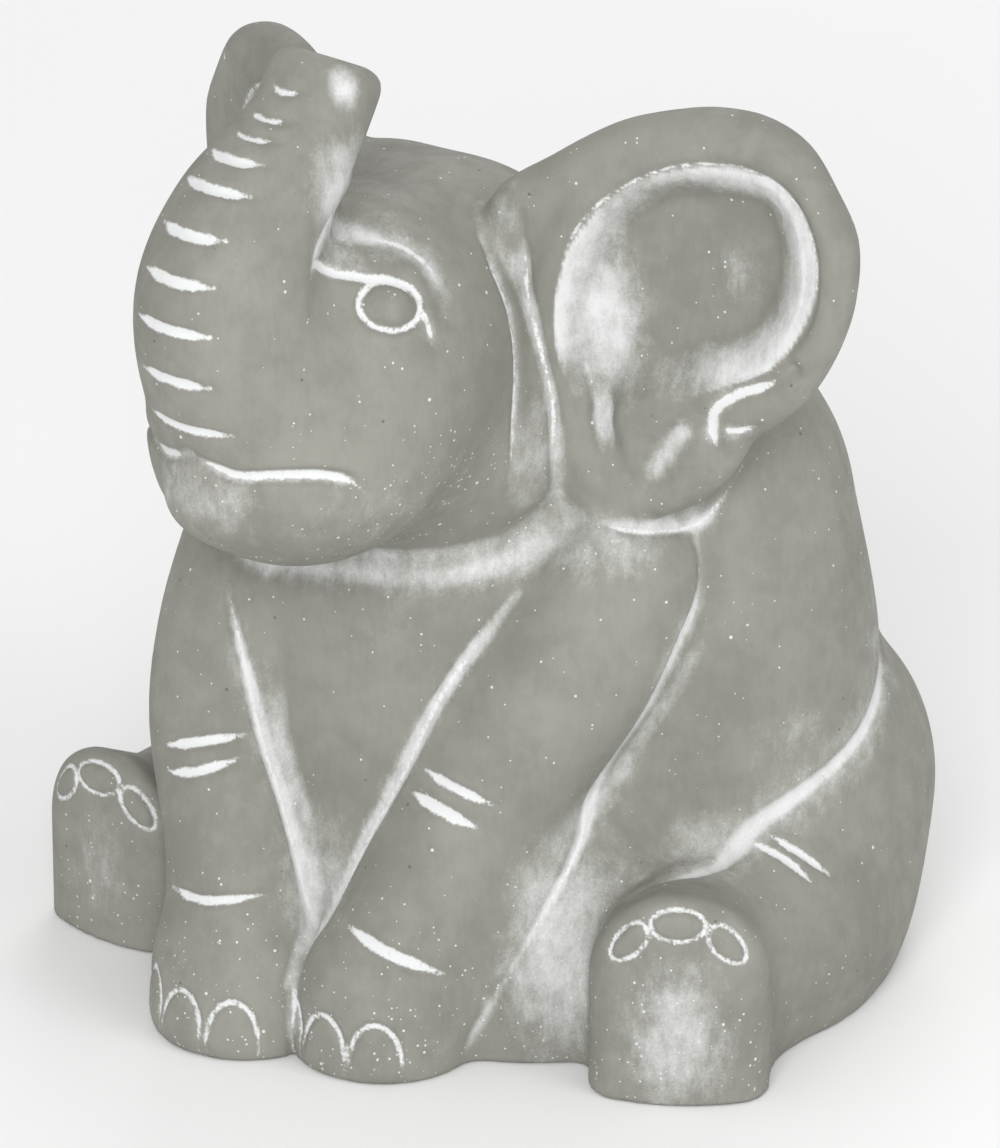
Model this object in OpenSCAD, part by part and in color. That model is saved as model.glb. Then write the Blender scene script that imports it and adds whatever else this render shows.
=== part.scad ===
// Money box in the shape of a sitting baby elephant: hollow fired-clay shell,
// coin slot across the shoulders, rubber stopper in the floor.
// Millimetres. +Z up, the elephant looks along -Y, its left side is +X.

/* [Pose] */
// Turn of the head towards the elephant's right, in degrees
head_turn = 12; // [0:1:16]
// Angle at which each ear stands out behind the face, in degrees
ear_flare = 23; // [16:1:30]
// Outward splay of each hind foot, in degrees
foot_splay = 24; // [10:1:28]

/* [Shell] */
// Thickness of the fired clay wall
wall = 6; // [5:0.5:8]
// Thickness of an ear at its rim
ear_rim_t = 9; // [7:0.5:10]
// Depth of the dished front of an ear
ear_dish = 4; // [2:0.5:5]

/* [Coin slot] */
// Length of the slot across the shoulders
slot_l = 36; // [30:1:40]
// Width of the slot
slot_w = 5; // [4.5:0.1:6]

/* [Floor and stopper] */
// Thickness of the clay floor
floor_t = 6; // [5:0.5:8]
// Height of the recessed floor above the table
floor_lift = 4; // [3.5:0.5:5]
// Diameter of the stopper hole
hole_d = 36; // [30:1:38]
// Diameter of the stopper's flange
flange_d = 42; // [39:1:44]
// Thickness of the stopper's flange
flange_t = 2.2; // [1.5:0.1:3]
// Height of the plug above the floor's underside
plug_h = 13; // [11:0.5:15]
// Thickness of the plug's wall
plug_wall = 3; // [2:0.5:4]

/* [Hidden] */

// The middle of the figure's own box, which goes to the origin
box_middle = [0, 2, 0];
// The head turns about a vertical line at this depth
neck_y = 5;
// Where an ear is rooted, beside the head's middle
ear_root = [20, -8];
// Where the slot lies behind the head, and how low its cut reaches
slot_y = 45;
slot_low = 100;
// The hole and stopper stand on this axis, in the middle of the floor
hole_axis = [0, 22, 0];
// How much lower the right ear sits, because the head leans a little that way
ear_drop = 12;
// How much further back the right ear stands
ear_right_back = 8;
// Half width and half depth of the floor
floor_half = [42, 27];
// Running gap all round the plug, and between the flange and the floor
plug_gap = 0.05;
// Width of the stopper's finger bar
bar_w = 4;
// Larger than the whole figure, for the cuts that take everything on one side
reach = 150;
clay = [0.59, 0.58, 0.54];
rubber = [0.13, 0.13, 0.13];

// Torso, from the rump up to the shoulders: centre and half sizes
rump = [[0, 28, 34], [61, 40, 38]];
waist = [[0, 27, 56], [61.5, 39, 44]];
shoulders = [[0, 26, 93], [52, 31, 29]];
chest = [[-8, -2, 66], [33, 27, 42]];
breast = [[-9, -12, 30], [19, 18, 38]];
belly = [[8, -4, 12], [38, 30, 38]];
// Flat footing of the torso: middle, half sizes, height
footing = [[0, 24], [48, 35], 8];

// Head, in its own frame: skull, crown, face, nape and muzzle
skull = [[0, -10, 116], [23, 32, 31]];
crown = [[-8, 0, 126], [25, 26, 23]];
face = [[0, -35, 121], [27, 27, 29]];
nape = [[0, -4, 103], [26, 33, 24]];
muzzle = [[0, -50, 110], [21, 18.5, 17.5]];

// Trunk: x, y, z and radius along its middle line
trunk_line = [[0, -50, 117, 18.5], [0, -59, 130, 16.5], [0, -62, 142, 14.5],
    [0, -57, 152, 12.7], [0, -48.5, 158.5, 11], [0, -42.5, 164.5, 9.6], [0, -39, 168.5, 9.2]];

// Ear rim, out from its root: x, y, z of the middle of the rolled edge
ear_rim = [[2, 0, 110], [2, 0, 145], [14, 0, 156], [28, -1, 161], [42, -2, 159],
    [50, -4, 149], [50, -5, 138], [45, -5, 125], [36, -4, 109], [25, -2, 97],
    [15, 0, 94], [6, 0, 99]];
ear_bowl = [[29, -6, 137], [18, 22]];

// Forelegs: x, y, z and radius from shoulder to ankle, then the foot
left_fore = [[29, 1, 79, 16], [24, -7, 66, 16], [17, -13, 52, 15.5],
    [11, -19, 37, 15], [6, -26, 22, 14.4], [3, -30, 13, 14]];
left_foot = [2, -33.5, 15.3];
right_fore = [[-32, -1, 84, 14], [-32, -12, 74, 14], [-33, -19, 62, 13.5],
    [-33, -23, 48, 13], [-27, -28, 30, 13.4], [-25, -32, 16, 13.2]];
right_foot = [-22.5, -37, 15.3];
// Height of a forefoot's edge, where it is widest, and how much narrower its sole is
toe_edge = [5, 3];
sole_in = 1;

// Hind legs: haunch and the part it sits on, then the knee and the end of the foot on each
// side. The right leg is drawn as a left one and mirrored.
haunch = [[42, 36, 28], [25.5, 30, 32]];
haunch_base = [[45, 20], [23.5, 31], 6];
left_knee = [[47, 8, 15], [21, 22, 18]];
right_knee = [[50, 11, 10], [20, 22, 16]];
left_end = [54, -26, 0];
right_end = [60, -19.5, 0];
foot_half = [15, 37];
sole_round = 4;
// How far the sole's outline draws in at the table, and up to what height
sole_draw_in = 3;
sole_lift = [6, 4];
// How far the middle of the sole bulges forward
sole_bulge = 5;

// Tail, lying against the rump: x, y, z and radius
tail_line = [[0, 64, 62, 6], [-6, 69, 50, 5], [-14, 69, 38, 4.5], [-20, 66, 26, 4.5],
    [-23, 63, 18, 6]];

module egg(e, less = 0) {
    translate(e[0]) scale([e[1][0] - less, e[1][1] - less, e[1][2] - less])
        sphere(1, $fn = 32);
}

// One smooth limb through balls given as x, y, z and radius
module limb(line, less = 0) {
    for (i = [0 : len(line) - 2]) {
        hull() {
            for (j = [i, i + 1]) {
                translate([line[j][0], line[j][1], line[j][2]])
                    sphere(line[j][3] - less, $fn = 24);
            }
        }
    }
}

module above_table() {
    intersection() {
        children();
        translate([-reach, -reach, 0]) cube(2 * reach);
    }
}

module in_head_frame() {
    translate([0, neck_y, 0]) rotate([0, 0, -head_turn]) children();
}

module torso_form(less = 0) {
    hull() {
        egg(rump, less);
        egg(waist, less);
    }
    hull() {
        egg(rump, less);
        translate([footing[0][0], footing[0][1], 0])
            scale([footing[1][0] - less, footing[1][1] - less, 1])
                cylinder(r = 1, h = footing[2], $fn = 48);
    }
    hull() {
        egg(waist, less);
        egg(shoulders, less);
    }
    egg(chest, less);
    egg(breast, less);
    egg(belly, less);
}

module head_form(less = 0) {
    in_head_frame() {
        hull() {
            egg(skull, less);
            egg(face, less);
        }
        hull() {
            egg(face, less);
            egg(muzzle, less);
        }
        hull() {
            egg(skull, less);
            egg(nape, less);
        }
        egg(crown, less);
    }
}

module trunk_form() {
    in_head_frame() limb(trunk_line);
}

// One ear with its dished front, standing at its root as a left ear
module ear_form(flare, drop) {
    translate([ear_root[0], ear_root[1], -drop]) rotate([0, 0, flare]) difference() {
        hull() {
            for (p = ear_rim) {
                translate(p) sphere(ear_rim_t / 2, $fn = 16);
            }
        }
        translate(ear_bowl[0] - [0, ear_rim_t / 2, 0])
            scale([ear_bowl[1][0], ear_rim_t / 2 + ear_dish / 2, ear_bowl[1][1]]) sphere(1, $fn = 32);
    }
}

module foreleg_form(line, foot) {
    limb(line);
    ankle = line[len(line) - 1];
    hull() {
        translate([foot[0], foot[1], 0])
            cylinder(r = foot[2] - sole_in, h = toe_edge[0], $fn = 32);
        translate([foot[0], foot[1], toe_edge[0]]) cylinder(r = foot[2], h = toe_edge[1], $fn = 32);
        translate([ankle[0], ankle[1], ankle[2]]) sphere(ankle[3], $fn = 24);
    }
}

// Outline of the sole as a slab: flat below, round above
module sole_slab(inset, depth) {
    rotate([90, 0, 0]) linear_extrude(height = depth) hull() {
        translate([0, foot_half[1] - foot_half[0]]) circle(foot_half[0] - inset, $fn = 32);
        translate([inset - foot_half[0] + sole_draw_in, 0])
            square([2 * (foot_half[0] - inset - sole_draw_in), sole_lift[0]]);
        translate([inset - foot_half[0], sole_lift[1]])
            square([2 * (foot_half[0] - inset), sole_lift[1]]);
    }
}

module hind_leg_form(knee, foot_end) {
    hull() {
        egg(haunch);
        egg(knee);
        translate([haunch_base[0][0], haunch_base[0][1], 0])
            scale([haunch_base[1][0], haunch_base[1][1], 1])
                cylinder(r = 1, h = haunch_base[2], $fn = 32);
    }
    hull() {
        egg(knee);
        translate(foot_end) rotate([0, 0, foot_splay]) {
            translate([0, 2 * sole_round, 0]) sole_slab(0, sole_round);
            sole_slab(sole_round / 2, 1);
            translate([0, -sole_bulge, 0]) sole_slab(2 * sole_round, 1);
        }
    }
}

module cavity() {
    torso_form(wall);
    head_form(wall);
}

module coin_slot() {
    translate([-slot_l / 2, slot_y - slot_w / 2, slot_low]) cube([slot_l, slot_w, reach]);
}

module floor_plan() {
    polygon([for (a = [0 : 5 : 355]) [floor_half[0] * cos(a), floor_half[1] * sin(a)]]);
}

module floor_well() {
    translate([hole_axis[0], hole_axis[1], -1])
        linear_extrude(height = 1 + floor_lift + floor_t) floor_plan();
}

module clay_part() {
    color(clay) translate(-box_middle) above_table() children();
}

module torso_shell() {
    clay_part() difference() {
        torso_form();
        head_form();
        difference() {
            cavity();
            translate([-reach, -reach, 0]) cube([2 * reach, 2 * reach, floor_lift + floor_t]);
        }
        floor_well();
        coin_slot();
    }
}

module head_shell() {
    clay_part() difference() {
        head_form();
        cavity();
        coin_slot();
    }
}

module trunk() {
    clay_part() difference() {
        trunk_form();
        head_form();
    }
}

module ear_left() {
    clay_part() difference() {
        in_head_frame() ear_form(ear_flare, 0);
        head_form();
        torso_form();
        trunk_form();
    }
}

module ear_right() {
    clay_part() difference() {
        in_head_frame() mirror([1, 0, 0]) ear_form(ear_flare + ear_right_back, ear_drop);
        head_form();
        torso_form();
        trunk_form();
    }
}

module foreleg_left() {
    clay_part() difference() {
        foreleg_form(left_fore, left_foot);
        torso_form();
        head_form();
        in_head_frame() ear_form(ear_flare, 0);
    }
}

module foreleg_right() {
    clay_part() difference() {
        foreleg_form(right_fore, right_foot);
        torso_form();
        head_form();
        foreleg_form(left_fore, left_foot);
    }
}

module hind_leg_left() {
    clay_part() difference() {
        hind_leg_form(left_knee, left_end);
        torso_form();
        foreleg_form(left_fore, left_foot);
    }
}

module hind_leg_right() {
    clay_part() difference() {
        mirror([1, 0, 0]) hind_leg_form(right_knee, right_end);
        torso_form();
        foreleg_form(right_fore, right_foot);
    }
}

module tail() {
    clay_part() difference() {
        limb(tail_line);
        torso_form();
        mirror([1, 0, 0]) hind_leg_form(right_knee, right_end);
    }
}

module base_floor() {
    color(clay) translate(hole_axis - box_middle) difference() {
        translate([0, 0, floor_lift]) linear_extrude(height = floor_t) floor_plan();
        translate([0, 0, floor_lift - 1]) cylinder(d = hole_d, h = floor_t + 2, $fn = 64);
    }
}

// Moulded stopper: flange, hollow plug, and a finger bar across its open underside
module stopper() {
    web_z = plug_h - plug_wall;
    color(rubber) translate(hole_axis - box_middle + [0, 0, floor_lift - plug_gap]) {
        difference() {
            union() {
                translate([0, 0, -flange_t]) cylinder(d = flange_d, h = flange_t, $fn = 64);
                cylinder(d = hole_d - 2 * plug_gap, h = plug_h, $fn = 64);
            }
            translate([0, 0, -flange_t - 1])
                cylinder(d = hole_d - 2 * plug_gap - 2 * plug_wall, h = web_z + flange_t + 1, $fn = 64);
        }
        intersection() {
            translate([-hole_d / 2, -bar_w / 2, -flange_t]) cube([hole_d, bar_w, web_z + flange_t]);
            translate([0, 0, -flange_t])
                cylinder(d = hole_d - 2 * plug_gap - 2 * plug_wall, h = web_z + flange_t, $fn = 64);
        }
    }
}

torso_shell();
head_shell();
trunk();
ear_left();
ear_right();
foreleg_left();
foreleg_right();
hind_leg_left();
hind_leg_right();
tail();
base_floor();
stopper();
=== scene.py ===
"""Finish of a clay elephant money box: sculpted clay, rubbed whitewash, rubber stopper.

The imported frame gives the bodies, the nodes and the places of the floor, hole and stopper. The clay is
sculpted here as one distance field in millimetres, over the same masses as the frame, tooled with
strokes, and cut along its creases into the pieces that the potter joined.
"""

import functools
import math

import bmesh
import bpy
import mathutils
import numpy as np
import openvdb
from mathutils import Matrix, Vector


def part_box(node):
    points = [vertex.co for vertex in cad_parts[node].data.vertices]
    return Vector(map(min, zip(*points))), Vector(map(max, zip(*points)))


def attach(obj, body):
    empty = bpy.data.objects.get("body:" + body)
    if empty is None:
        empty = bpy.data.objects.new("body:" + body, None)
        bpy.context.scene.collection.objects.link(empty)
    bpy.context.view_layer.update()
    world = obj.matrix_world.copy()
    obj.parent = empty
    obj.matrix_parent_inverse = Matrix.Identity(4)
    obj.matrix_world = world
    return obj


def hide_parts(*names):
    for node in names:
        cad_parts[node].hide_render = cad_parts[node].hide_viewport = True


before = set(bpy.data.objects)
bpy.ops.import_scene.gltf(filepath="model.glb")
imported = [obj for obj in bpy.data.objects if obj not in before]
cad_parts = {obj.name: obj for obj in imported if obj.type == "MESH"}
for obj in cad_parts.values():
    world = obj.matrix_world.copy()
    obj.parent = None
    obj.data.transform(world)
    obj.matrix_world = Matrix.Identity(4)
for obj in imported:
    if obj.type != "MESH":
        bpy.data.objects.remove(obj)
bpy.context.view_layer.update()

bl_info = {
    "name": "Clay elephant money box",
    "version": (1, 0, 0),
    "blender": (4, 5, 0),
    "location": "View3D > Sidebar > Money Box",
    "description": "Sculpts and finishes a sitting clay elephant that is a coin bank",
    "category": "Object",
}

MM = 0.001
SHELL_BODY = "clay_shell"
STOPPER_BODY = "stopper"

# The figure is modelled about the middle of its back; the row's origin is under the middle of its box.
FIGURE_MIDDLE = np.array([0.0, 2.0, 0.0])
HEAD_TURN = 12.0
NECK_Y = 5.0
EAR_FLARE = {1: 23.0, -1: 31.0}
EAR_DROP = {1: 0.0, -1: 12.0}
EAR_ROOT = (20.0, 8.0)
BOWL_IN = {1: 0.0, -1: 9.0}
WALL = 6.0
FLOOR_TOP = 10.0
FLOOR_HALF = (42.0, 27.0)
HOLE_Y = 22.0
SLOT = (36.0, 5.0)
SLOT_Y = 45.0
SLOT_LOW = 100.0
HIND_TOE = {1: (54.0, -26.0), -1: (58.5, -18.0)}
HIND_SPLAY = {1: 24.0, -1: 11.0}
# How far one piece of clay laps into the next, and how far flat faces may be merged in a mesh
SEAM_LAP = 0.6
MESH_EASE = 0.0

CLAY = (0.280, 0.275, 0.243, 1.0)
DARK_CLAY = (0.222, 0.218, 0.192, 1.0)
# Painted shade for the inside of the pinholes
PINHOLE_SHADE = (0.07, 0.065, 0.055, 1.0)
RUBBER = (0.018, 0.018, 0.019, 1.0)
BLOOMED_RUBBER = (0.05, 0.05, 0.051, 1.0)
# The stopper: flange, plug, the hollow in it, the plug's closed end, its grooves and the finger bar
FLANGE_THICKNESS = 2.2
PLUG_RADIUS = 17.93
HOLLOW_RADIUS = 14.95
PLUG_END = 3.0
PLUG_GROOVE = 0.45
BAR_WIDTH = 4.0
BAR_RISE = 0.8
# The studio floor lies a hair under the figure's sole, so that the two never share a plane
FLOOR_HALF_SIDE = 3.0
FLOOR_DROP = 0.25
LAMP_AIM = (0.0, 0.0, 0.09)
VIEW_MIDDLE = (18.0, -23.0, 85.0)
# Name, share of the main light's power, size and place of each studio lamp
LIGHTS = (
    ("main lamp", 1.0, 0.6, (0.4, -1.15, 0.75)),
    ("side lamp", 0.35, 0.7, (1.15, -0.2, 0.8)),
    ("rear lamp", 0.4, 0.7, (-0.3, 1.1, 0.9)),
)


# ---- Distance fields. Points are rows of x, y, z in millimetres; a field is negative in the clay.

FAR_OFF = 1e3
TINY = 1e-6


def joined(a, b, round_mm):
    """Union of two fields, with the crease between them filled to about round_mm."""
    h = np.maximum(round_mm - np.abs(a - b), 0.0) / round_mm
    return np.minimum(a, b) - h * h * round_mm * 0.25


def cut(a, b, round_mm):
    """Field a with b taken away, and the new edge softened."""
    return -joined(-a, b, round_mm)


def egg(p, centre, half):
    q = p - np.asarray(centre, np.float32)
    half = np.asarray(half, np.float32)
    near = np.sqrt(np.sum((q / half) ** 2, axis=1)) + TINY
    slope = np.sqrt(np.sum((q / half**2) ** 2, axis=1)) + TINY
    return near * (near - 1.0) / slope


def curve(rows, steps):
    """Catmull-Rom points between the second and the last row but one, steps to a span."""
    return [0.5 * (2 * b + (c - a) * t + (2 * a - 5 * b + 4 * c - d) * t**2
                   + (3 * b - a - 3 * c + d) * t**3)
            for a, b, c, d in zip(rows[:-3], rows[1:-2], rows[2:-1], rows[3:])
            for t in (s / steps for s in range(steps))]


def smooth_line(points, steps=6):
    """A smooth line through the points, which may carry a radius as a fourth number."""
    pts = np.asarray(points, np.float32)
    rows = np.vstack([2 * pts[0] - pts[1], pts, 2 * pts[-1] - pts[-2]])
    return np.array(curve(rows, steps) + [pts[-1]], np.float32)


def closed_outline(points, steps=6):
    pts = np.asarray(points, np.float32)
    return np.array(curve(np.vstack([pts[-1:], pts, pts[:2]]), steps), np.float32)


def along_tube(p, tube):
    """Distance to a tube given point by point as x, y, z, radius."""
    best = np.full(len(p), FAR_OFF, np.float32)
    tube = np.asarray(tube, np.float32)
    for a, b in zip(tube[:-1], tube[1:]):
        way = b[:3] - a[:3]
        t = np.clip((p - a[:3]) @ way / (way @ way + TINY), 0, 1)
        away = p - a[:3] - t[:, None] * way
        best = np.minimum(best, np.sqrt(np.sum(away * away, axis=1)) - (a[3] + t * (b[3] - a[3])))
    return best


def limb(p, line, steps=5):
    """A tube of changing radius along a smooth line of x, y, z, radius."""
    return along_tube(p, smooth_line(line, steps))


def eased(z, heights, values):
    """Values at the heights, joined by smooth curves."""
    rows = smooth_line([(h, v, 0.0) for h, v in zip(heights, values)], 8)
    return np.interp(z, rows[:, 0], rows[:, 1]).astype(np.float32)


class FlatShape:
    """Signed distance to a smooth closed outline, looked up on a fine flat grid."""

    STEP = 0.5
    MARGIN = 16.0

    def __init__(self, points):
        line = closed_outline(points)
        self.low = line.min(0) - self.MARGIN
        self.count = np.ceil((line.max(0) + self.MARGIN - self.low) / self.STEP).astype(int) + 1
        u, v = np.meshgrid(*(self.low[i] + self.STEP * np.arange(self.count[i]) for i in (0, 1)),
                           indexing="ij")
        q = np.stack([u.ravel(), v.ravel()], axis=1).astype(np.float32)
        best = np.full(len(q), 1e6, np.float32)
        inside = np.zeros(len(q), bool)
        for a, b in zip(line, np.roll(line, -1, axis=0)):
            along = b - a
            t = np.clip((q - a) @ along / (along @ along + 1e-9), 0, 1)
            best = np.minimum(best, np.sum((q - a - t[:, None] * along) ** 2, axis=1))
            crosses = (a[1] > q[:, 1]) != (b[1] > q[:, 1])
            rise = np.where(crosses, b[1] - a[1], 1.0)
            inside ^= crosses & (q[:, 0] < (b[0] - a[0]) * (q[:, 1] - a[1]) / rise + a[0])
        best = np.sqrt(best)
        self.table = np.where(inside, -best, best).reshape(self.count)

    def distance(self, u, v):
        fu = np.clip((u - self.low[0]) / self.STEP, 0, self.count[0] - 1.001)
        fv = np.clip((v - self.low[1]) / self.STEP, 0, self.count[1] - 1.001)
        i, j = fu.astype(int), fv.astype(int)
        fu, fv = fu - i, fv - j
        t = self.table
        return ((t[i, j] * (1 - fu) + t[i + 1, j] * fu) * (1 - fv)
                + (t[i, j + 1] * (1 - fu) + t[i + 1, j + 1] * fu) * fv)


# ---- The masses of the figure

def to_head(p):
    """Head coordinates: to the elephant's left, forward of the neck, up."""
    turn = math.radians(HEAD_TURN)
    x, y = p[:, 0], p[:, 1] - NECK_Y
    left = x * math.cos(turn) - y * math.sin(turn)
    forward = -x * math.sin(turn) - y * math.cos(turn)
    return np.stack([left, forward, p[:, 2]], axis=1)


def to_ear(p, side):
    """Ear coordinates: out from the root, proud of the ear's plane, up."""
    h = to_head(p)
    flare = math.radians(EAR_FLARE[side])
    u, v = side * h[:, 0] - EAR_ROOT[0], h[:, 1] - EAR_ROOT[1]
    out = u * math.cos(flare) - v * math.sin(flare)
    proud = u * math.sin(flare) + v * math.cos(flare)
    return out, proud, p[:, 2] + EAR_DROP[side]


def torso_mass(p):
    z = p[:, 2]
    heights = [-8, 8, 20, 34, 56, 76, 96, 112]
    back = eased(z, heights, [23, 24.5, 26, 27.5, 27.5, 26.5, 26, 25])
    wide = eased(z, heights, [46, 53.5, 58.5, 61, 61.5, 59, 54, 44])
    deep = eased(z, heights, [35, 38.5, 40, 40.5, 39.5, 37, 31.5, 25])
    barrel = egg(p[:, :2], np.stack([0 * back, back], axis=1), np.stack([wide, deep], axis=1))
    barrel = cut(barrel, 104 - z, 18)
    body = joined(barrel, egg(p, (0, 26, 93), (52, 31, 29)), 8)
    body = joined(body, egg(p, (-8, -2, 66), (33, 27, 42)), 12)
    body = joined(body, egg(p, (-9, -12, 30), (19, 18, 38)), 9)
    return joined(body, egg(p, (8, -4, 12), (38, 30, 38)), 9)


def head_mass(p):
    h = to_head(p)
    head = joined(egg(h, (0, 10, 116), (23, 32, 31)), egg(h, (0, 35, 121), (27, 27, 29)), 9)
    head = joined(head, egg(h, (0, 50, 110), (21, 18.5, 17.5)), 12)
    head = joined(head, egg(h, (0, 4, 103), (26, 33, 24)), 8)
    return joined(head, egg(h, (-15, 7, 122.5), (26, 26, 23)), 6)


def trunk_mass(p):
    h = to_head(p)
    tube = limb(h, [(0, 50, 117, 18.5), (0, 59, 130, 16.5), (0, 62, 142, 14.5), (0, 57, 152, 12.7),
                    (0, 48.5, 158.5, 11), (0, 42.5, 164.5, 9.6), (0, 38, 170.5, 9.2)], 9)
    # The tip is cut off square to the trunk.
    end = (h[:, 1] - 39) * -0.45 + (h[:, 2] - 170) * 0.89 - 5.0
    return cut(tube, -end, 3)


EAR_OUTLINE = FlatShape([
    (-8, 146), (2, 154), (13, 161), (23, 164.5), (31, 166), (39, 165.5), (46, 162), (51, 155),
    (54.8, 147), (54.6, 137), (52, 128), (47.5, 119.5), (42, 113.5), (37.5, 109.5), (34.5, 104),
    (30.5, 98.5), (25, 94.5), (17, 91), (9, 89.5), (3.5, 92), (1, 100), (0, 110), (-6, 120), (-10, 132),
])
EAR_BOWL = FlatShape([
    (4, 128), (5, 136), (8, 143), (13, 149.5), (20, 154.5), (29, 157.5), (37, 158), (42.5, 156.5),
    (46.5, 151.5), (48.3, 144), (48, 137), (45.5, 130.5), (41.5, 125), (36.5, 121.5), (31, 119),
    (26, 116), (20, 114.5), (15, 111), (13, 104), (11.5, 101), (10, 104), (8.5, 111), (5, 119),
])


EAR_REACH = 53.0
EAR_CURL = 5.5


def ear_curl(out):
    """How far the ear curls forward towards its outer edge."""
    return EAR_CURL * np.clip(out / EAR_REACH, 0, 1.2) ** 2


def ear_mass(p, side):
    out, proud, z = to_ear(p, side)
    edge = EAR_OUTLINE.distance(out, z)
    proud = proud - ear_curl(out) + 2.0 * np.clip((118 - z) / 30, 0, 1)
    bowl = EAR_BOWL.distance(out + BOWL_IN[side], z)
    wall = np.clip(6.0 + 4.0 * (out - 8) / 40, 5.0, 9.5)
    sunk = np.clip(-bowl / wall, 0, 1)
    sunk = sunk * sunk * (3 - 2 * sunk)
    swell = 0.9 * np.exp(-((np.clip(bowl, 0, 9) - 2.6) / 2.4) ** 2)
    front = 4.4 - (4.4 + 1.6 * np.clip(out / 45, 0, 1)) * sunk + swell
    back = -4.6
    half = (front - back) / 2
    mid = (front + back) / 2
    lip = 4.2
    q1 = edge + lip
    q2 = np.abs(proud - mid) - half + lip
    outside = np.sqrt(np.maximum(q1, 0) ** 2 + np.maximum(q2, 0) ** 2)
    return outside + np.minimum(np.maximum(q1, q2), 0) - lip


def foreleg_mass(p, side):
    if side > 0:
        line = [(29, 1, 79, 16), (24, -7, 66, 16), (17, -13, 52, 15.5), (11, -19, 37, 15),
                (6, -26, 22, 14.4), (3, -30, 13, 14)]
        toes = (2, -33.5)
    else:
        line = [(-32, -1, 84, 14), (-32, -12, 74, 14), (-33, -19, 62, 13.5), (-33, -23, 48, 13),
                (-27, -28, 30, 13.4), (-25, -32, 16, 13.2)]
        toes = (-22.5, -37)
    leg = limb(p, line)
    foot = joined(egg(p, (toes[0], toes[1] + 1, 7), (16, 15, 13)),
                  egg(p, (toes[0], toes[1], 2), (15.3, 14.5, 8)), 4)
    return joined(leg, foot, 7)


def hind_leg_mass(p, side):
    q = p * np.array([side, 1, 1], np.float32)
    toe = HIND_TOE[side]
    knee = egg(q, (47, 8, 15), (21, 22, 18)) if side > 0 else egg(q, (50, 11, 10), (20, 22, 16))
    haunch = joined(egg(q, (42, 36, 28), (25.5, 30, 32)), egg(q, (45, 20, 8), (23.5, 31, 22)), 12)
    leg = joined(haunch, knee, 10)
    turn = math.radians(HIND_SPLAY[side])
    u = (q[:, 0] - toe[0]) * math.cos(turn) + (q[:, 1] - toe[1]) * math.sin(turn)
    v = -(q[:, 0] - toe[0]) * math.sin(turn) + (q[:, 1] - toe[1]) * math.cos(turn)
    z = q[:, 2]
    # The foot is a stub with an arched outline, whose sole bulges a little in the middle.
    top = z + (0.25 if side > 0 else 0.5) * np.clip(v, 0, 30)
    spring = 21 if side > 0 else 18.5
    round_top = np.sqrt(u**2 + ((top - spring) * 15 / 16) ** 2) - 15
    arch = np.where(top > spring, round_top, np.abs(u) - 15)
    face = -v - 3.5 * (1 - (u / 15) ** 2) - 1.0
    rim = 4.0
    q1, q2 = arch + rim, np.maximum(face, v - 22) + rim
    foot = np.sqrt(np.maximum(q1, 0) ** 2 + np.maximum(q2, 0) ** 2)
    foot = foot + np.minimum(np.maximum(q1, q2), 0) - rim
    return joined(leg, foot, 9)


def tail_mass(p):
    return limb(p, [(0, 63, 64, 6.5), (-5, 68, 52, 5.2), (-13, 69, 39, 4.6), (-20, 66, 27, 4.6),
                    (-23, 63.5, 18, 6.2), (-24, 62.5, 14, 4.0)])


MASSES = {
    "torso_shell": torso_mass,
    "head_shell": head_mass,
    "trunk": trunk_mass,
    "ear_left": lambda p: ear_mass(p, 1),
    "ear_right": lambda p: ear_mass(p, -1),
    "foreleg_left": lambda p: foreleg_mass(p, 1),
    "foreleg_right": lambda p: foreleg_mass(p, -1),
    "hind_leg_left": lambda p: hind_leg_mass(p, 1),
    "hind_leg_right": lambda p: hind_leg_mass(p, -1),
    "tail": tail_mass,
}


# ---- The block of clay: one dense field that the pieces are cut from

def doubled(field):
    """The field on a grid twice as fine, by a smooth cubic rule, one direction after another."""
    for axis in range(3):
        f = np.moveaxis(field, axis, 0)
        padded = np.concatenate([2 * f[:1] - f[1:2], f, 2 * f[-1:] - f[-2:-1]])
        mids = (9 * (padded[1:-2] + padded[2:-1]) - padded[:-3] - padded[3:]) / 16
        fine = np.empty((2 * f.shape[0] - 1,) + f.shape[1:], np.float32)
        fine[0::2] = f
        fine[1::2] = mids
        field = np.moveaxis(fine, 0, axis)
    return np.ascontiguousarray(field)


def averaged(field, reach):
    """Mean of the field over a cube of 2 reach + 1 cells."""
    for axis in range(3):
        f = np.moveaxis(field, axis, 0)
        ends = [np.repeat(f[:1], reach + 1, axis=0), f, np.repeat(f[-1:], reach, axis=0)]
        run = np.cumsum(np.concatenate(ends), axis=0, dtype=np.float64)
        mean = (run[2 * reach + 1 :] - run[: -2 * reach - 1]) / (2 * reach + 1)
        field = np.moveaxis(mean.astype(np.float32), 0, axis)
    return field


def from_head(points):
    """Figure coordinates of points given to the left, forward of the neck and up."""
    turn = math.radians(HEAD_TURN)
    out = []
    for left, forward, up in points:
        x = left * math.cos(turn) - forward * math.sin(turn)
        y = -left * math.sin(turn) - forward * math.cos(turn) + NECK_Y
        out.append((x, y, up))
    return out


def from_ear(points, side):
    """Figure coordinates of points given out along an ear, proud of it and up."""
    flare = math.radians(EAR_FLARE[side])
    head = []
    for out, proud, up in points:
        u = out * math.cos(flare) + proud * math.sin(flare)
        v = -out * math.sin(flare) + proud * math.cos(flare)
        head.append((side * (u + EAR_ROOT[0]), v + EAR_ROOT[1], up - EAR_DROP[side]))
    return from_head(head)


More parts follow.
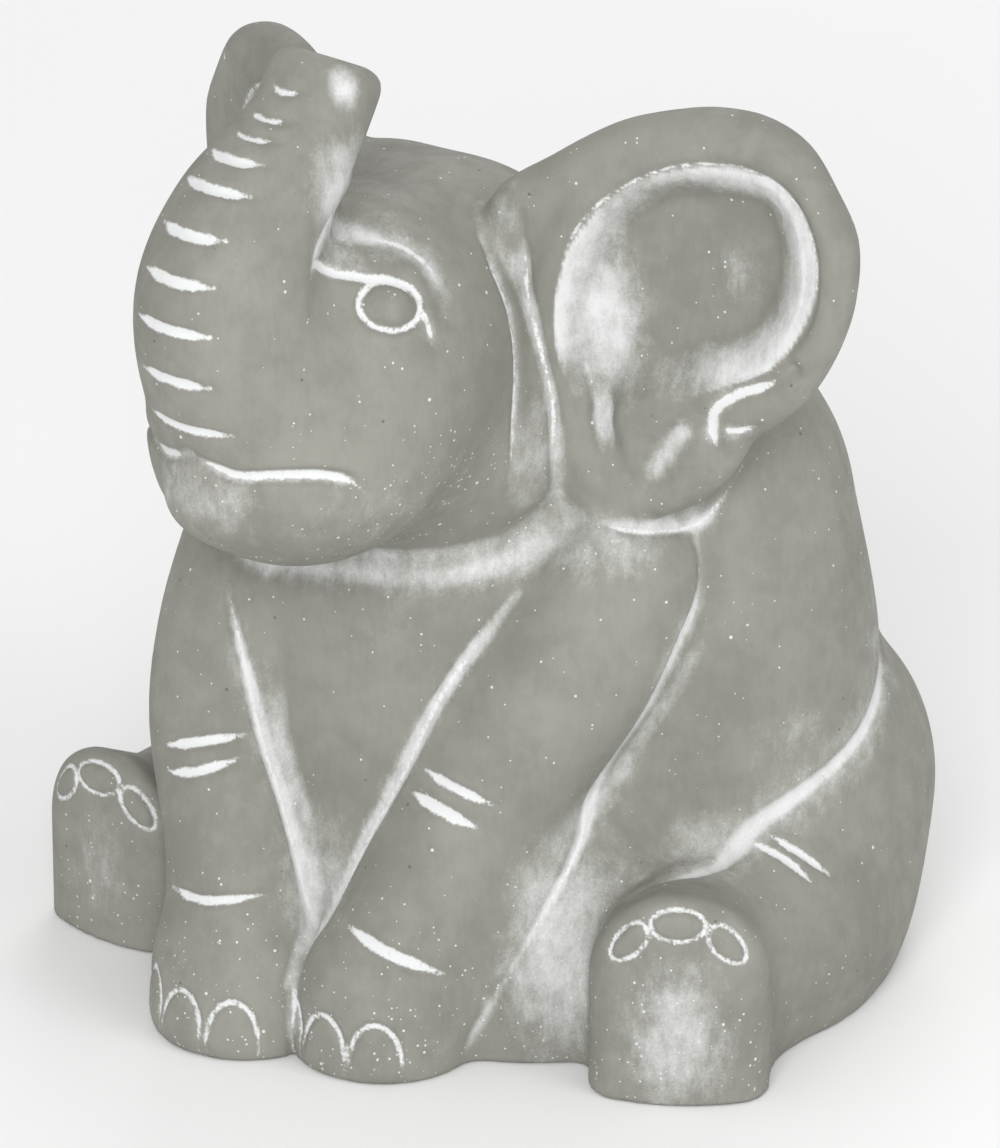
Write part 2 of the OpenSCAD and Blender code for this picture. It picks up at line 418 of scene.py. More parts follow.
class Block:
    """A dense field over the whole figure, tooled in local windows."""

    COARSE = 1.4
    FINE = COARSE / 2
    LOW = np.array([-82.0, -76.0, -6.0])
    HIGH = np.array([80.0, 80.0, 184.0])
    FAR = 9.0

    def __init__(self):
        counts = np.ceil((self.HIGH - self.LOW) / self.COARSE).astype(int) + 1
        axes = [self.LOW[i] + self.COARSE * np.arange(counts[i]) for i in range(3)]
        grid = np.stack(np.meshgrid(*axes, indexing="ij"), axis=-1).reshape(-1, 3)
        grid = grid.astype(np.float32)
        self.masses = {name: made(grid).reshape(counts) for name, made in MASSES.items()}
        self.field = doubled(self.gathered(self.masses))
        self.axes = [self.LOW[i] + self.FINE * np.arange(self.field.shape[i]) for i in range(3)]
        self.skin = self.field.copy()
        self.strokes = []
        self.halo = np.zeros(self.field.shape, np.float32)
        self.share_out()

    @staticmethod
    def gathered(m):
        head = joined(m["head_shell"], m["trunk"], 7)
        head = joined(head, m["ear_left"], 2.5)
        head = joined(head, m["ear_right"], 2.5)
        body = joined(m["torso_shell"], m["hind_leg_left"], 5)
        body = joined(body, m["hind_leg_right"], 5)
        body = joined(body, joined(m["foreleg_left"], m["foreleg_right"], 1.5), 3.5)
        body = joined(body, m["tail"], 2)
        return joined(head, body, 2)

    def share_out(self):
        """Finds how far each cell is from the mass that is nearest and the next."""
        self.best = np.full(self.field.shape, FAR_OFF, np.float32)
        self.second = self.best.copy()
        for made in self.masses.values():
            fine = doubled(made)
            self.second = np.maximum(self.best, np.minimum(self.second, fine))
            self.best = np.minimum(self.best, fine)

    def sample(self, array, points, low=None):
        """The array's value at each point, in figure millimetres."""
        q = (np.asarray(points) - (self.LOW if low is None else low)) / self.FINE
        q = np.clip(q, 0, np.array(array.shape) - 1.001)
        i = q.astype(int)
        f = (q - i).astype(np.float32)
        total = np.zeros(len(q), np.float32)
        for dx in (0, 1):
            for dy in (0, 1):
                for dz in (0, 1):
                    weight = (np.abs(1 - dx - f[:, 0]) * np.abs(1 - dy - f[:, 1])
                              * np.abs(1 - dz - f[:, 2]))
                    total += weight * array[i[:, 0] + dx, i[:, 1] + dy, i[:, 2] + dz]
        return total

    def slope(self, array, points, step=0.6):
        out = np.empty((len(points), 3), np.float32)
        for axis in range(3):
            move = np.zeros(3)
            move[axis] = step
            ahead = self.sample(array, points + move)
            out[:, axis] = (ahead - self.sample(array, points - move)) / (2 * step)
        return out

    def laid_on(self, points, facing=None):
        """The points moved on to the untooled skin, and the way out of the clay there.

        They take the shortest way, or fall straight on to it from the side that faces them.
        """
        p = np.array(points, float)
        if facing is not None:
            p = p + 8.0 * facing
            for _ in range(40):
                p = p - 0.85 * np.clip(self.sample(self.skin, p), 0, 3)[:, None] * facing
        else:
            for _ in range(6):
                g = self.slope(self.skin, p)
                move = self.sample(self.skin, p) / (np.sum(g * g, axis=1) + 1e-3)
                p = p - 0.9 * move[:, None] * g
        g = self.slope(self.skin, p)
        return p, g / (np.linalg.norm(g, axis=1) + TINY)[:, None]

    def near(self, line, reach, band):
        """The cells round a line that lie near the clay's surface, and where they are."""
        window = []
        for i in range(3):
            low = (line[:, i].min() - reach - self.LOW[i]) / self.FINE
            high = (line[:, i].max() + reach - self.LOW[i]) / self.FINE
            window.append(slice(max(int(low), 0), max(int(high) + 2, 1)))
        window = tuple(window)
        close = np.nonzero(np.abs(self.field[window]) < band)
        cells = tuple(close[i] + window[i].start for i in range(3))
        places = np.stack([self.axes[i][cells[i]] for i in range(3)], axis=1).astype(np.float32)
        return cells, places

    def tool(self, points, width=2.4, depth=0.9, paint=1.0, halo=0.0, strength=0.6, facing=None):
        """Draws one stroke: a groove (or a ridge, where depth is negative), painted.

        paint is the part of the width that is painted; halo is how far the wash is rubbed out of it.
        """
        line, outward = self.laid_on(smooth_line(points, 4), facing)
        ends = np.linspace(0, 1, len(line))
        closed = np.linalg.norm(line[0] - line[-1]) < 1.5
        taper = np.ones(len(line)) if closed else np.clip(4.5 * np.minimum(ends, 1 - ends), 0.3, 1)
        if depth:
            round_mm = (width * width / 4 + depth * depth) / (2 * abs(depth))
            lift = (round_mm - abs(depth) * taper) * np.sign(depth)
            tube = np.column_stack([line + outward * lift[:, None], np.full(len(line), round_mm)])
            cells, places = self.near(line, width + 2.5, 4.0)
            away = along_tube(places, tube)
            now = self.field[cells]
            soft = min(max(width - 1.7, 0.5), 2.5)
            self.field[cells] = cut(now, away, soft) if depth > 0 else joined(now, away, 0.8)
        if paint:
            sunk = line - outward * (0.9 * depth * taper)[:, None]
            self.strokes.append((np.column_stack([sunk, (taper - 1) * width * 0.4]), paint * width / 2))
        if halo:
            cells, places = self.near(line, halo + 2, 2.2)
            away = along_tube(places, np.column_stack([line, (taper - 1) * halo * 0.5]))
            soft = strength * np.clip(1 - away / halo, 0, 1) ** 1.7
            self.halo[cells] = np.maximum(self.halo[cells], soft)

    def painted(self, points):
        """How far each point is from the edge of the nearest painted stroke."""
        away = np.full(len(points), self.FAR, np.float32)
        for line, half in self.strokes:
            low, high = line[:, :3].min(0) - half - 2, line[:, :3].max(0) + half + 2
            chosen = np.nonzero(np.all((points > low) & (points < high), axis=1))[0]
            away[chosen] = np.minimum(away[chosen], along_tube(points[chosen], line) - half)
        return away

    def bump(self, centre, half, round_mm=2.0):
        """Presses a soft pad of clay on to the surface."""
        middle = np.array([centre], np.float32)
        cells, places = self.near(middle, max(half) + 4, 6.0)
        self.field[cells] = joined(self.field[cells], egg(places, centre, half), round_mm)

    def hollow_out(self):
        """Takes out the inside, the well for the floor plate, and the coin slot."""
        self.outside = self.field.copy()
        x, y, z = np.meshgrid(*self.axes, indexing="ij", sparse=True)
        inner = joined(doubled(self.masses["torso_shell"]), doubled(self.masses["head_shell"]), 4)
        inner = np.maximum(inner + WALL, FLOOR_TOP - z)
        self.field = np.maximum(self.field, -inner)
        well = (np.sqrt((x / (FLOOR_HALF[0] - 0.15)) ** 2
                        + ((y - HOLE_Y) / (FLOOR_HALF[1] - 0.15)) ** 2) - 1) * FLOOR_HALF[1]
        self.field = np.maximum(self.field, -np.maximum(well, z - FLOOR_TOP))
        slot = np.maximum(np.maximum(np.abs(x) - SLOT[0] / 2, np.abs(y - SLOT_Y) - SLOT[1] / 2),
                          SLOT_LOW - z)
        slot = slot.astype(np.float32)
        self.field = cut(self.field, slot, 1.2)
        self.outside = cut(self.outside, slot, 1.2)
        self.field = np.maximum(self.field, -z)
        self.outside = np.maximum(self.outside, -z)
        fine, broad = averaged(self.outside, 3), averaged(self.outside, 8)
        self.crevice = np.clip((self.outside - fine) * 2.2, -1, 1) + np.clip(
            (self.outside - broad) * 0.9, -1, 1)

    def piece(self, name):
        """The field of one piece of clay, how far each cell lies past its seam, and the corner of its window.
        """
        mass = self.masses[name]
        inside = np.nonzero(mass < 5.0)
        low = [max(int(i.min()) - 3, 0) for i in inside]
        high = [int(i.max()) + 4 for i in inside]
        fine = doubled(mass[tuple(slice(a, b) for a, b in zip(low, high))])
        window = tuple(slice(2 * a, 2 * a + n) for a, n in zip(low, fine.shape))
        best, second = self.best[window], self.second[window]
        fine, best, second = (f[: best.shape[0], : best.shape[1], : best.shape[2]]
                              for f in (fine, best, second))
        edge = np.where(fine <= best + 1e-4, best - second, fine - best) / 2
        field = np.maximum(self.field[window] + 0.25 * np.maximum(edge, 0), edge - SEAM_LAP)
        return field, edge, self.LOW + self.FINE * np.array([w.start for w in window])


@functools.lru_cache(maxsize=1)
def clay_block():
    """The tooled block, made once for all the pieces."""
    block = Block()
    tool_head(block)
    tool_ears(block)
    tool_limbs(block)
    tool_body(block)
    block.hollow_out()
    return block


# ---- Tooling: where the potter's strokes lie, in millimetres

def mirrored(points):
    return [(-p[0],) + tuple(p[1:]) for p in points]


def oval(centre, along, across, half_long, half_short, turns=18):
    """A closed ring of points about a centre."""
    along, across = np.array(along, float), np.array(across, float)
    along /= np.linalg.norm(along)
    across = across - along * (across @ along)
    across /= np.linalg.norm(across)
    return [tuple(np.array(centre) + half_long * math.cos(a) * along + half_short * math.sin(a) * across)
            for a in (2 * math.pi * i / turns for i in range(turns + 1))]


def tool_head(block):
    # Ten rings across the front of the trunk, longest in the middle of it.
    rings = [(73, 122, 9), (76, 131, 7), (77, 140, 8), (75.5, 148, 7.5), (72, 155, 7),
             (66, 161, 7.5), (61.5, 165, 6), (57, 168, 5.5), (53.5, 170, 5), (49.5, 173, 4)]
    for forward, up, half in rings:
        stroke = [(-half, forward - 2, up), (-half / 2, forward - 0.5, up), (0, forward, up),
                  (half / 2, forward - 0.5, up), (half, forward - 2, up)]
        block.tool(from_head(stroke), width=2.5, depth=0.8, paint=0.8 if up < 167 else 0.4)
    for side in (1, -1):
        def at(points):
            return from_head([(side * a, b, c) for a, b, c in points])

        # Eye: a low ball in a ring, a heavy upper lid that runs back past it, and a brow.
        look = at([(19, 44, 139)])
        (spot,), (out,) = block.laid_on(look)
        back, up = np.array(at([(21, 39, 138)])[0]) - spot, np.array(at([(17, 42, 143)])[0]) - spot
        block.bump(spot - out * 1.6, (3.6, 3.6, 3.2), 1.5)
        block.tool(oval(spot, back, up, 5.4, 4.3), width=1.6, depth=0.75, paint=0.65)
        block.tool(at([(12, 56, 147), (13.5, 53, 147), (15, 49, 146), (17, 45, 144.5), (19, 41, 142),
                       (21, 39.5, 138.5)]), width=2.2, depth=0.8, paint=0.8, halo=3.5, strength=0.35)
        block.tool(at([(21, 39.5, 138), (23, 39.5, 135), (24, 40, 132)]),
                   width=1.8, depth=0.5, paint=0.55, halo=4.5, strength=0.6)
        block.tool(at([(8, 43, 148.5), (11, 39, 147.5), (15, 35, 145.5), (19, 33, 141.5), (23, 35, 136)]),
                   width=4.2, depth=0.7, paint=0.35, halo=6.5, strength=0.9)
        # Mouth
        block.tool(at([(0, 72.5, 116.5), (4, 71, 115), (8, 68.5, 114), (13, 66, 114.5), (18, 61.5, 114.5),
                       (21, 57, 113), (22.5, 54.5, 110.5)]),
                   width=2.8, depth=1.6, paint=0.6, halo=3.5, strength=0.4)
        block.tool(at([(9, 67.5, 110), (8.5, 66, 104), (6.5, 63, 98)]), width=4.5, depth=0.7, paint=0,
                   halo=3.5, strength=0.4)
        # Where the trunk stands clear of the forehead
        block.tool(at([(7, 40, 160), (9, 43.5, 156.5), (10.5, 48, 153), (12.5, 53, 149.5), (12, 56, 147)]),
                   width=2.6, depth=0.7, paint=0.2, halo=6.5, strength=0.9)
        # Back of the cheek, and the groove before the ear
        block.tool(at([(15, 17, 141.5), (18.5, 18, 137), (21.5, 18, 130), (23.5, 19, 120), (24, 20, 110),
                       (23, 20, 99)]), width=2.0, depth=0.8, paint=0.4, halo=3, strength=0.4)
        block.tool(at([(20, 13, 145), (20.5, 13, 139), (21.5, 13, 132), (24, 12, 121), (26, 11.5, 112),
                       (26, 11, 101), (26, 10, 91)]), width=2.2, depth=0.8, paint=0.35, halo=4.5,
                   strength=0.3)
    # Lower lip
    block.bump(from_head([(0, 63, 107)])[0], (9, 8, 7), 6)


def tool_ears(block):
    for side in (1, -1):
        front = np.subtract(*from_ear([(0, 1, 0), (0, 0, 0)], side))

        def at(points):
            return from_ear([(a - BOWL_IN[side], 0, b) for a, b in points], side)

        block.tool(at([(45, 125), (40.5, 121.5), (36, 119.5), (32.5, 116.5), (31, 113), (31, 109.5),
                       (33, 107)]), width=3.4, depth=1.2, paint=0.5, halo=4.5, strength=0.7, facing=front)
        block.tool(at([(32, 112), (35.5, 112), (39, 113.5)]), width=2.4, depth=0.6, paint=0.5, halo=4,
                   strength=0.7, facing=front)
        block.tool(at([(7, 124), (9.5, 117), (12, 110), (15, 102)]), width=3.4, depth=1.0, paint=0.12,
                   halo=5.5, strength=0.55, facing=front)
        block.tool(at([(28, 114), (25, 109), (22, 104), (19, 98.5)]), width=3.8, depth=1.0,
                   paint=0, halo=5.5, strength=0.7, facing=front)
        # The edge of the bowl
        block.tool(at([(4, 124), (5, 132), (6, 140), (10, 147), (17, 153), (25, 157), (34, 158.5),
                       (41, 157), (46, 152), (48.5, 144), (48, 136), (45, 129.5), (41, 124.5)]),
                   width=1.8, depth=0.3, paint=0.3, halo=1.5, strength=0.5, facing=front)


FEET = {1: ((2, -33.5), 14.6), -1: ((-22.5, -37), 14.6)}


def tool_limbs(block):
    # Nails of the forefeet: arches round the front of each foot
    for side, ((x, y), reach) in FEET.items():
        turns = (-143, -104, -65) if side > 0 else (-147, -108, -68)
        for turn in turns:
            arch = []
            for step, up in ((-17, 1), (-17.5, 4), (-15, 7.5), (-9, 9.8), (0, 10.8), (9, 9.8), (15, 7.5),
                             (17.5, 4), (17, 1)):
                a = math.radians(turn + step)
                arch.append((x + reach * math.cos(a), y + reach * math.sin(a), up))
            block.tool(arch, width=1.5, depth=0.7, paint=0.62, halo=2.5, strength=0.25)
    # Strokes across the knees and ankles
    for stroke, width in [
        ([(6, -30, 46.5), (12, -32, 45.5), (19, -31, 43)], 3.0),
        ([(8, -29, 50.5), (14, -31, 49.5), (21, -29, 47)], 2.4),
        ([(-1, -39, 24), (7, -41, 22), (16, -37, 18)], 2.8),
        ([(-38, -36, 47.5), (-31, -37, 50), (-24, -32, 51)], 2.4),
        ([(-37, -36, 43), (-31, -38, 45), (-24, -34, 47.5)], 2.4),
        ([(-34, -40, 24), (-26, -43, 24.5), (-17, -39, 26)], 2.2),
    ]:
        block.tool(stroke, width=width, depth=0.8, paint=0.72, halo=3.5, strength=0.35)
    for side in (1, -1):
        toe, turn = HIND_TOE[side], math.radians(HIND_SPLAY[side])

        def on_sole(u, z, v=-3.0):
            x = toe[0] + u * math.cos(turn) - v * math.sin(turn)
            y = toe[1] + u * math.sin(turn) + v * math.cos(turn)
            return (side * x, y, z)

        for u, up, lean in ((-8.6, 29.5, -42), (0, 33.0, 0), (8.6, 29.5, 42)):
            z = up if side > 0 else up - 2.5
            a = math.radians(lean)
            flat = [(4.4 * math.cos(t), 2.7 * math.sin(t)) for t in
                    (2 * math.pi * i / 18 for i in range(19))]
            ring = [on_sole(u + p * math.cos(a) + q * math.sin(a), z - p * math.sin(a) + q * math.cos(a))
                    for p, q in flat]
            block.tool(ring, width=1.2, depth=0.6, paint=0.65, halo=2, strength=0.2)
        # Short strokes on the thigh
        for points in ([(53, 2, 35), (58, 4, 32), (63, 5, 28)], [(56, 5, 35), (61, 7, 32), (65, 9, 28)]):
            if side < 0:
                points = mirrored(points)
            block.tool(points, width=1.7, depth=0.5, paint=0.9)


def tool_body(block):
    # Creases of the forelegs
    for crease, halo in [
        ([(19, -17, 80), (14, -23, 71), (8, -26, 60), (2, -29, 46), (-4, -33, 33), (-9, -37, 20),
          (-11, -43, 12)], 5),
        ([(42, 2, 90), (45, -1, 80), (43, -5, 68), (38, -8, 57), (33, -12, 46), (31, -18, 36),
          (26, -28, 21), (19, -34, 4)], 9),
        ([(-32, -26, 80), (-27, -29, 67), (-22, -30, 50), (-16, -32, 37), (-11, -34, 23),
          (-9, -39, 16)], 7),
        ([(-46, -3, 84), (-47, -9, 68), (-46, -12, 52), (-43, -18, 34), (-39, -26, 16)], 5),
    ]:
        block.tool(crease, width=2.4, depth=1.1, paint=0.4, halo=halo, strength=0.6)
    # Under the near ear
    block.tool([(47, 11, 99), (45, 6, 93), (43, 3, 90), (40, -2, 90), (36, -6, 90), (32, -8, 91),
                (26, -9, 92)], width=1.8, depth=0.5, paint=0.5, halo=4.5, strength=0.55)
    # Under the jaw
    block.tool([(-34, -18, 80), (-27, -24, 80), (-10, -28, 82), (8, -24, 83), (17, -17, 85), (25, -9, 90)],
               width=4.0, depth=0.6, paint=0, halo=9, strength=0.6)
    # Creases over the haunches, rubbed broadly
    for flip in (list, mirrored):
        crease = flip([(58, 44, 60), (61, 36, 53), (62, 25, 46), (59, 10, 40), (54, -2, 38), (47, -14, 36),
                       (41, -22, 33)])
        block.tool(crease, width=3.0, depth=1.0, paint=0.2, halo=13, strength=0.65)
    # Folds across the back of the neck and down the rump
    for up, half in ((98, 30), (90, 36)):
        block.tool([(-half, 50, up - 3), (-half / 2, 60, up), (0, 62, up + 0.5), (half / 2, 60, up),
                    (half, 50, up - 3)], width=2.4, depth=0.7, paint=0.5, halo=4, strength=0.5)
    block.tool([(6, 64, 66), (7, 67, 54), (3, 69, 40), (-8, 69, 28), (-14, 66, 20)],
               width=2.4, depth=0.8, paint=0.5, halo=5, strength=0.7)
    block.tool([(-6, 64, 68), (-13, 67, 56), (-20, 66, 44), (-27, 63, 30)],
               width=2.4, depth=0.8, paint=0.5, halo=5, strength=0.7)


# Where whitewash was rubbed on broadly, and in the head's list one painted highlight: middle, half sizes, how
# much
SMEARS = [
    ((56, -31, 12), (9, 10, 15), 0.75), ((30, -11, 89), (15, 10, 6), 0.6),
    ((31, -22, 20), (9, 14, 20), 0.85), ((-10, -32, 26), (9, 10, 15), 0.55),
    ((52, 14, 50), (14, 14, 10), 0.35), ((60, 34, 56), (10, 12, 16), 0.4),
    ((-60, -25, 14), (9, 10, 12), 0.4), ((12, -30, 6), (14, 20, 5), 0.3),
    ((-30, 62, 70), (14, 8, 14), 0.35), ((28, 62, 60), (12, 8, 20), 0.3), ((0, 60, 96), (36, 8, 6), 0.35),
    ((0, 52, 110), (24, 14, 7), 0.35), ((4, -30, 74), (30, 14, 12), 0.22), ((56, 6, 80), (16, 24, 30), 0.2),
]
HEAD_SMEARS_AND_HIGHLIGHT = [
    ((0, 68, 109), (11, 7, 7), 0.6), ((12, 38, 147), (8, 9, 5), 0.45), ((11, 46, 156), (5, 9, 12), 0.8),
    ((6, 25, 150), (9, 9, 4), 0.3), ((14, 42, 108), (14, 26, 12), 0.42), ((20, 52, 106), (5, 8, 5), 0.3),
    # The first spot on the next line, on the tip of the trunk, is a painted highlight laid in with the
    # whitewash
    ((7, 42, 172), (2.8, 2.8, 4), 1.0), ((17, 14, 145), (4, 6, 12), 0.45), ((25, 16, 104), (4, 7, 14), 0.5),
    ((-12, 38, 147), (8, 9, 5), 0.4), ((-11, 47, 154), (4, 9, 8), 0.7), ((-20, 14, 130), (5, 7, 24), 0.45),
]


def smeared(p, smears):
    total = np.zeros(len(p), np.float32)
    for centre, half, much in smears:
        q = (p - np.array(centre)) / np.array(half)
        total = np.maximum(total, much * np.exp(-0.9 * np.sum(q * q, axis=1)))
    return total


def ear_wash(p, side):
    """Whitewash in the bowl of an ear: a bright band under the rim, thinner in the hollow."""
    out, proud, z = to_ear(p, side)
    bowl = EAR_BOWL.distance(out + BOWL_IN[side], z)
    on_front = np.clip((proud - ear_curl(out) + 3) / 2, 0, 1)
    inside = np.clip(-bowl, 0, 20)
    reach = 7.5 - 2.0 * np.exp(-(((out - 22) / 9) ** 2 + ((z - 156) / 8) ** 2))
    band = np.clip(1 - (inside / reach) ** 2, 0, 1) * np.clip((z - 113) / 10, 0, 1)
    band = band * (0.95 - 0.35 * np.exp(-(((out - 20) / 10) ** 2 + ((z - 152) / 10) ** 2)))
    left = np.exp(-(((out - 11) / 7.5) ** 2 + ((z - 127) / 15) ** 2))
    patch = 0.42 * np.exp(-(((out - 35) / 6) ** 2 + ((z - 137) / 7) ** 2))
    much = 1.0 if side > 0 else 0.5
    much = much * np.maximum(np.maximum(0.95 * band, 0.9 * left), patch)
    return on_front * much * np.clip(1 - bowl / 0.5, 0, 1)


def wash_at(block, p):
    """How thickly whitewash lies at each point, from 0 to about 1, with a painted highlight on the tip of the
    trunk.
    """
    crevice = block.sample(block.crevice, p)
    wash = np.clip((crevice - 0.35) * 0.4, 0, 0.38) + block.sample(block.halo, p)
    wash = np.maximum(wash, smeared(p, SMEARS))
    wash = np.maximum(wash, smeared(to_head(p), HEAD_SMEARS_AND_HIGHLIGHT))
    for side in (1, -1):
        wash = np.maximum(wash, ear_wash(p, side))
    return np.clip(wash, 0, 1)


def specks_at(p):
    """How thickly the spatter lies: most on the jaw, the trunk, the ankles and the feet."""
    head = to_head(p)
    low = np.clip((34 - p[:, 2]) / 22, 0, 1) * np.clip((-8 - p[:, 1]) / 16, 0, 1)
    jaw = np.exp(-(((head[:, 1] - 42) / 18) ** 2 + ((head[:, 2] - 105) / 13) ** 2))
    return np.clip(0.14 + 0.7 * low + 0.85 * jaw, 0, 1)


# ---- Meshes

def clay_piece(name):
    """Cuts one piece from the block, smooths it on to the field, and stores its paint values."""
    block = clay_block()
    field, edge, low = block.piece(name)
    grid = openvdb.FloatGrid(3.0)
    grid.copyFromArray(np.ascontiguousarray(field, dtype=np.float32))
    points, triangles, quads = grid.convertToPolygons(0.0, MESH_EASE)
    points = points * block.FINE + low
    # Vertices on the outside are moved on to it, so that creases stay crisp. Beyond its seam a piece
    # dips under its neighbour, so that no two faces lie in one place.
    past = np.clip(block.sample(edge, points, low), 0, SEAM_LAP)
    away = block.sample(block.outside, points) + 0.3 * past + 0.04 * (past > 0.02)
    slope = block.slope(block.outside, points, 0.5)
    steep = np.sum(slope * slope, axis=1)
    outer = np.abs(away) < 0.4
    shift = np.where(outer & (steep > 0.2), away / np.maximum(steep, 0.2), 0)
    points = points - np.clip(shift, -0.3, 0.3)[:, None] * slope
    points[:, 2] = np.maximum(points[:, 2], 0)
    normals = slope / (np.sqrt(steep) + TINY)[:, None]
    normals[~outer | (points[:, 2] < 0.3)] = 0

    mesh = bpy.data.meshes.new(name + "_finish")
    faces = np.concatenate([np.asarray(quads).ravel(), np.asarray(triangles).ravel()])
    sizes = np.concatenate([np.full(len(quads), 4), np.full(len(triangles), 3)])
    mesh.vertices.add(len(points))
    mesh.vertices.foreach_set("co", ((points - FIGURE_MIDDLE) * MM).ravel())
    mesh.loops.add(len(faces))
    mesh.loops.foreach_set("vertex_index", faces.astype(np.int32))
    mesh.polygons.add(len(sizes))
    mesh.polygons.foreach_set("loop_start", np.concatenate([[0], np.cumsum(sizes)[:-1]]).astype(np.int32))
    mesh.polygons.foreach_set("use_smooth", np.ones(len(sizes), bool))
    mesh.update(calc_edges=True)
    mesh.validate()
    if len(mesh.vertices) == len(points):
        mesh.normals_split_custom_set_from_vertices(normals.tolist())
    values = {
        "line": block.painted(points),
        # The wash values also hold a painted highlight on the tip of the trunk
        "wash": wash_at(block, points) * outer,
        "speck": specks_at(points) * outer,
    }
    for key, value in values.items():
        layer = mesh.attributes.new(key, "FLOAT", "POINT")
        layer.data.foreach_set("value", value.astype(np.float32))
    return link_piece(mesh)


def link_piece(mesh):
    piece = bpy.data.objects.new(mesh.name, mesh)
    bpy.context.scene.collection.objects.link(piece)
    return piece


def finish_clay(name):
    piece = clay_piece(name)
    piece.data.materials.append(clay_material())
    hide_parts(name)
    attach(piece, SHELL_BODY)


def turned(name, profile, turns=96):
    """A closed ring-shaped body turned about the stopper's axis from a closed profile of radius, height."""
    mesh = bpy.data.meshes.new(name)
    bm = bmesh.new()
    rings = []
    for i in range(turns):
        a = 2 * math.pi * i / turns
        rings.append([bm.verts.new((r * math.cos(a) * MM, r * math.sin(a) * MM, z * MM))
                      for r, z in profile])
    for i in range(turns):
        here, there = rings[i], rings[(i + 1) % turns]
        for j in range(len(profile)):
            k = (j + 1) % len(profile)
            bm.faces.new((here[j], there[j], there[k], here[k]))
    bmesh.ops.remove_doubles(bm, verts=bm.verts, dist=1e-6)
    bmesh.ops.recalc_face_normals(bm, faces=bm.faces)
    bm.to_mesh(mesh)
    bm.free()
    mesh.polygons.foreach_set("use_smooth", [True] * len(mesh.polygons))
    return mesh


# ---- Node helpers and materials

def node(tree, kind, **settings):
    made = tree.nodes.new(kind)
    for key, value in settings.items():
        setattr(made, key, value)
    return made


class Value:
    """A socket of a node tree that takes part in sums; each sum makes its own node."""

    def __init__(self, tree, socket):
        self.tree, self.socket = tree, socket

    def math(self, operation, other=None, clamp=False):
        made = node(self.tree, "ShaderNodeMath", operation=operation, use_clamp=clamp)
        feed(made.inputs[0], self)
        if other is not None:
            feed(made.inputs[1], other)
        return Value(self.tree, made.outputs[0])

    def __add__(self, other):
        return self.math("ADD", other)

    def __sub__(self, other):
        return self.math("SUBTRACT", other)

    def __mul__(self, other):
        return self.math("MULTIPLY", other)

    def ranged(self, low, high, to_low=0.0, to_high=1.0):
        made = node(self.tree, "ShaderNodeMapRange", interpolation_type="SMOOTHSTEP")
        for label, value in (("Value", self), ("From Min", low), ("From Max", high),
                             ("To Min", to_low), ("To Max", to_high)):
            feed(made.inputs[label], value)
        return Value(self.tree, made.outputs["Result"])


def feed(socket, value):
    """Links a value to a socket, or sets the socket to a plain number or colour."""
    if isinstance(value, Value):
        value.tree.links.new(value.socket, socket)
    else:
        socket.default_value = value


def taken(made, label):
    """The value that a node gives out under a label."""
    return Value(made.id_data, made.outputs[label])


def noise(where, per_mm, detail=3.0, rough=0.55, squash=None):
    """Fractal noise with a feature of about 1 / per_mm millimetres; squash stretches it."""
    if squash:
        stretch = node(where.tree, "ShaderNodeMapping")
        feed(stretch.inputs["Scale"], squash)
        feed(stretch.inputs["Vector"], where)
        where = taken(stretch, "Vector")
    made = node(where.tree, "ShaderNodeTexNoise", noise_dimensions="3D")
    for label, value in (("Vector", where), ("Scale", per_mm / MM), ("Detail", detail),
                         ("Roughness", rough)):
        feed(made.inputs[label], value)
    return taken(made, "Fac")


def cells(where, per_mm):
    """Voronoi cells: the distance to the middle of each, and two chances that each one draws."""
    made = node(where.tree, "ShaderNodeTexVoronoi", feature="F1")
    feed(made.inputs["Vector"], where)
    feed(made.inputs["Scale"], per_mm / MM)
    chance = node(where.tree, "ShaderNodeSeparateColor")
    feed(chance.inputs["Color"], taken(made, "Color"))
    return taken(made, "Distance"), taken(chance, "Red"), taken(chance, "Green")


def mixed(factor, a, b):
    made = node(factor.tree, "ShaderNodeMix", data_type="RGBA")
    colors = [socket for socket in made.inputs if socket.type == "RGBA"]
    feed(made.inputs["Factor"], factor)
    feed(colors[0], a)
    feed(colors[1], b)
    return Value(factor.tree, next(socket for socket in made.outputs if socket.type == "RGBA"))


def bumped(shader, height, strength, depth_mm):
    """Gives a shader a bump of the given height."""
    bump = node(height.tree, "ShaderNodeBump")
    for label, value in (("Strength", strength), ("Distance", depth_mm * MM), ("Height", height)):
        feed(bump.inputs[label], value)
    feed(shader.inputs["Normal"], taken(bump, "Normal"))


def new_group(name, inputs, outputs):
    """A shader node group with named sockets, given as (name, type, default)."""
    group = bpy.data.node_groups.new(name, "ShaderNodeTree")
    for label, kind, default in inputs:
        socket = group.interface.new_socket(label, in_out="INPUT", socket_type="NodeSocket" + kind)
        if default is not None:
            socket.default_value = default
    for label, kind in outputs:
        group.interface.new_socket(label, in_out="OUTPUT", socket_type="NodeSocket" + kind)
    return group, group.nodes.new("NodeGroupInput"), group.nodes.new("NodeGroupOutput")


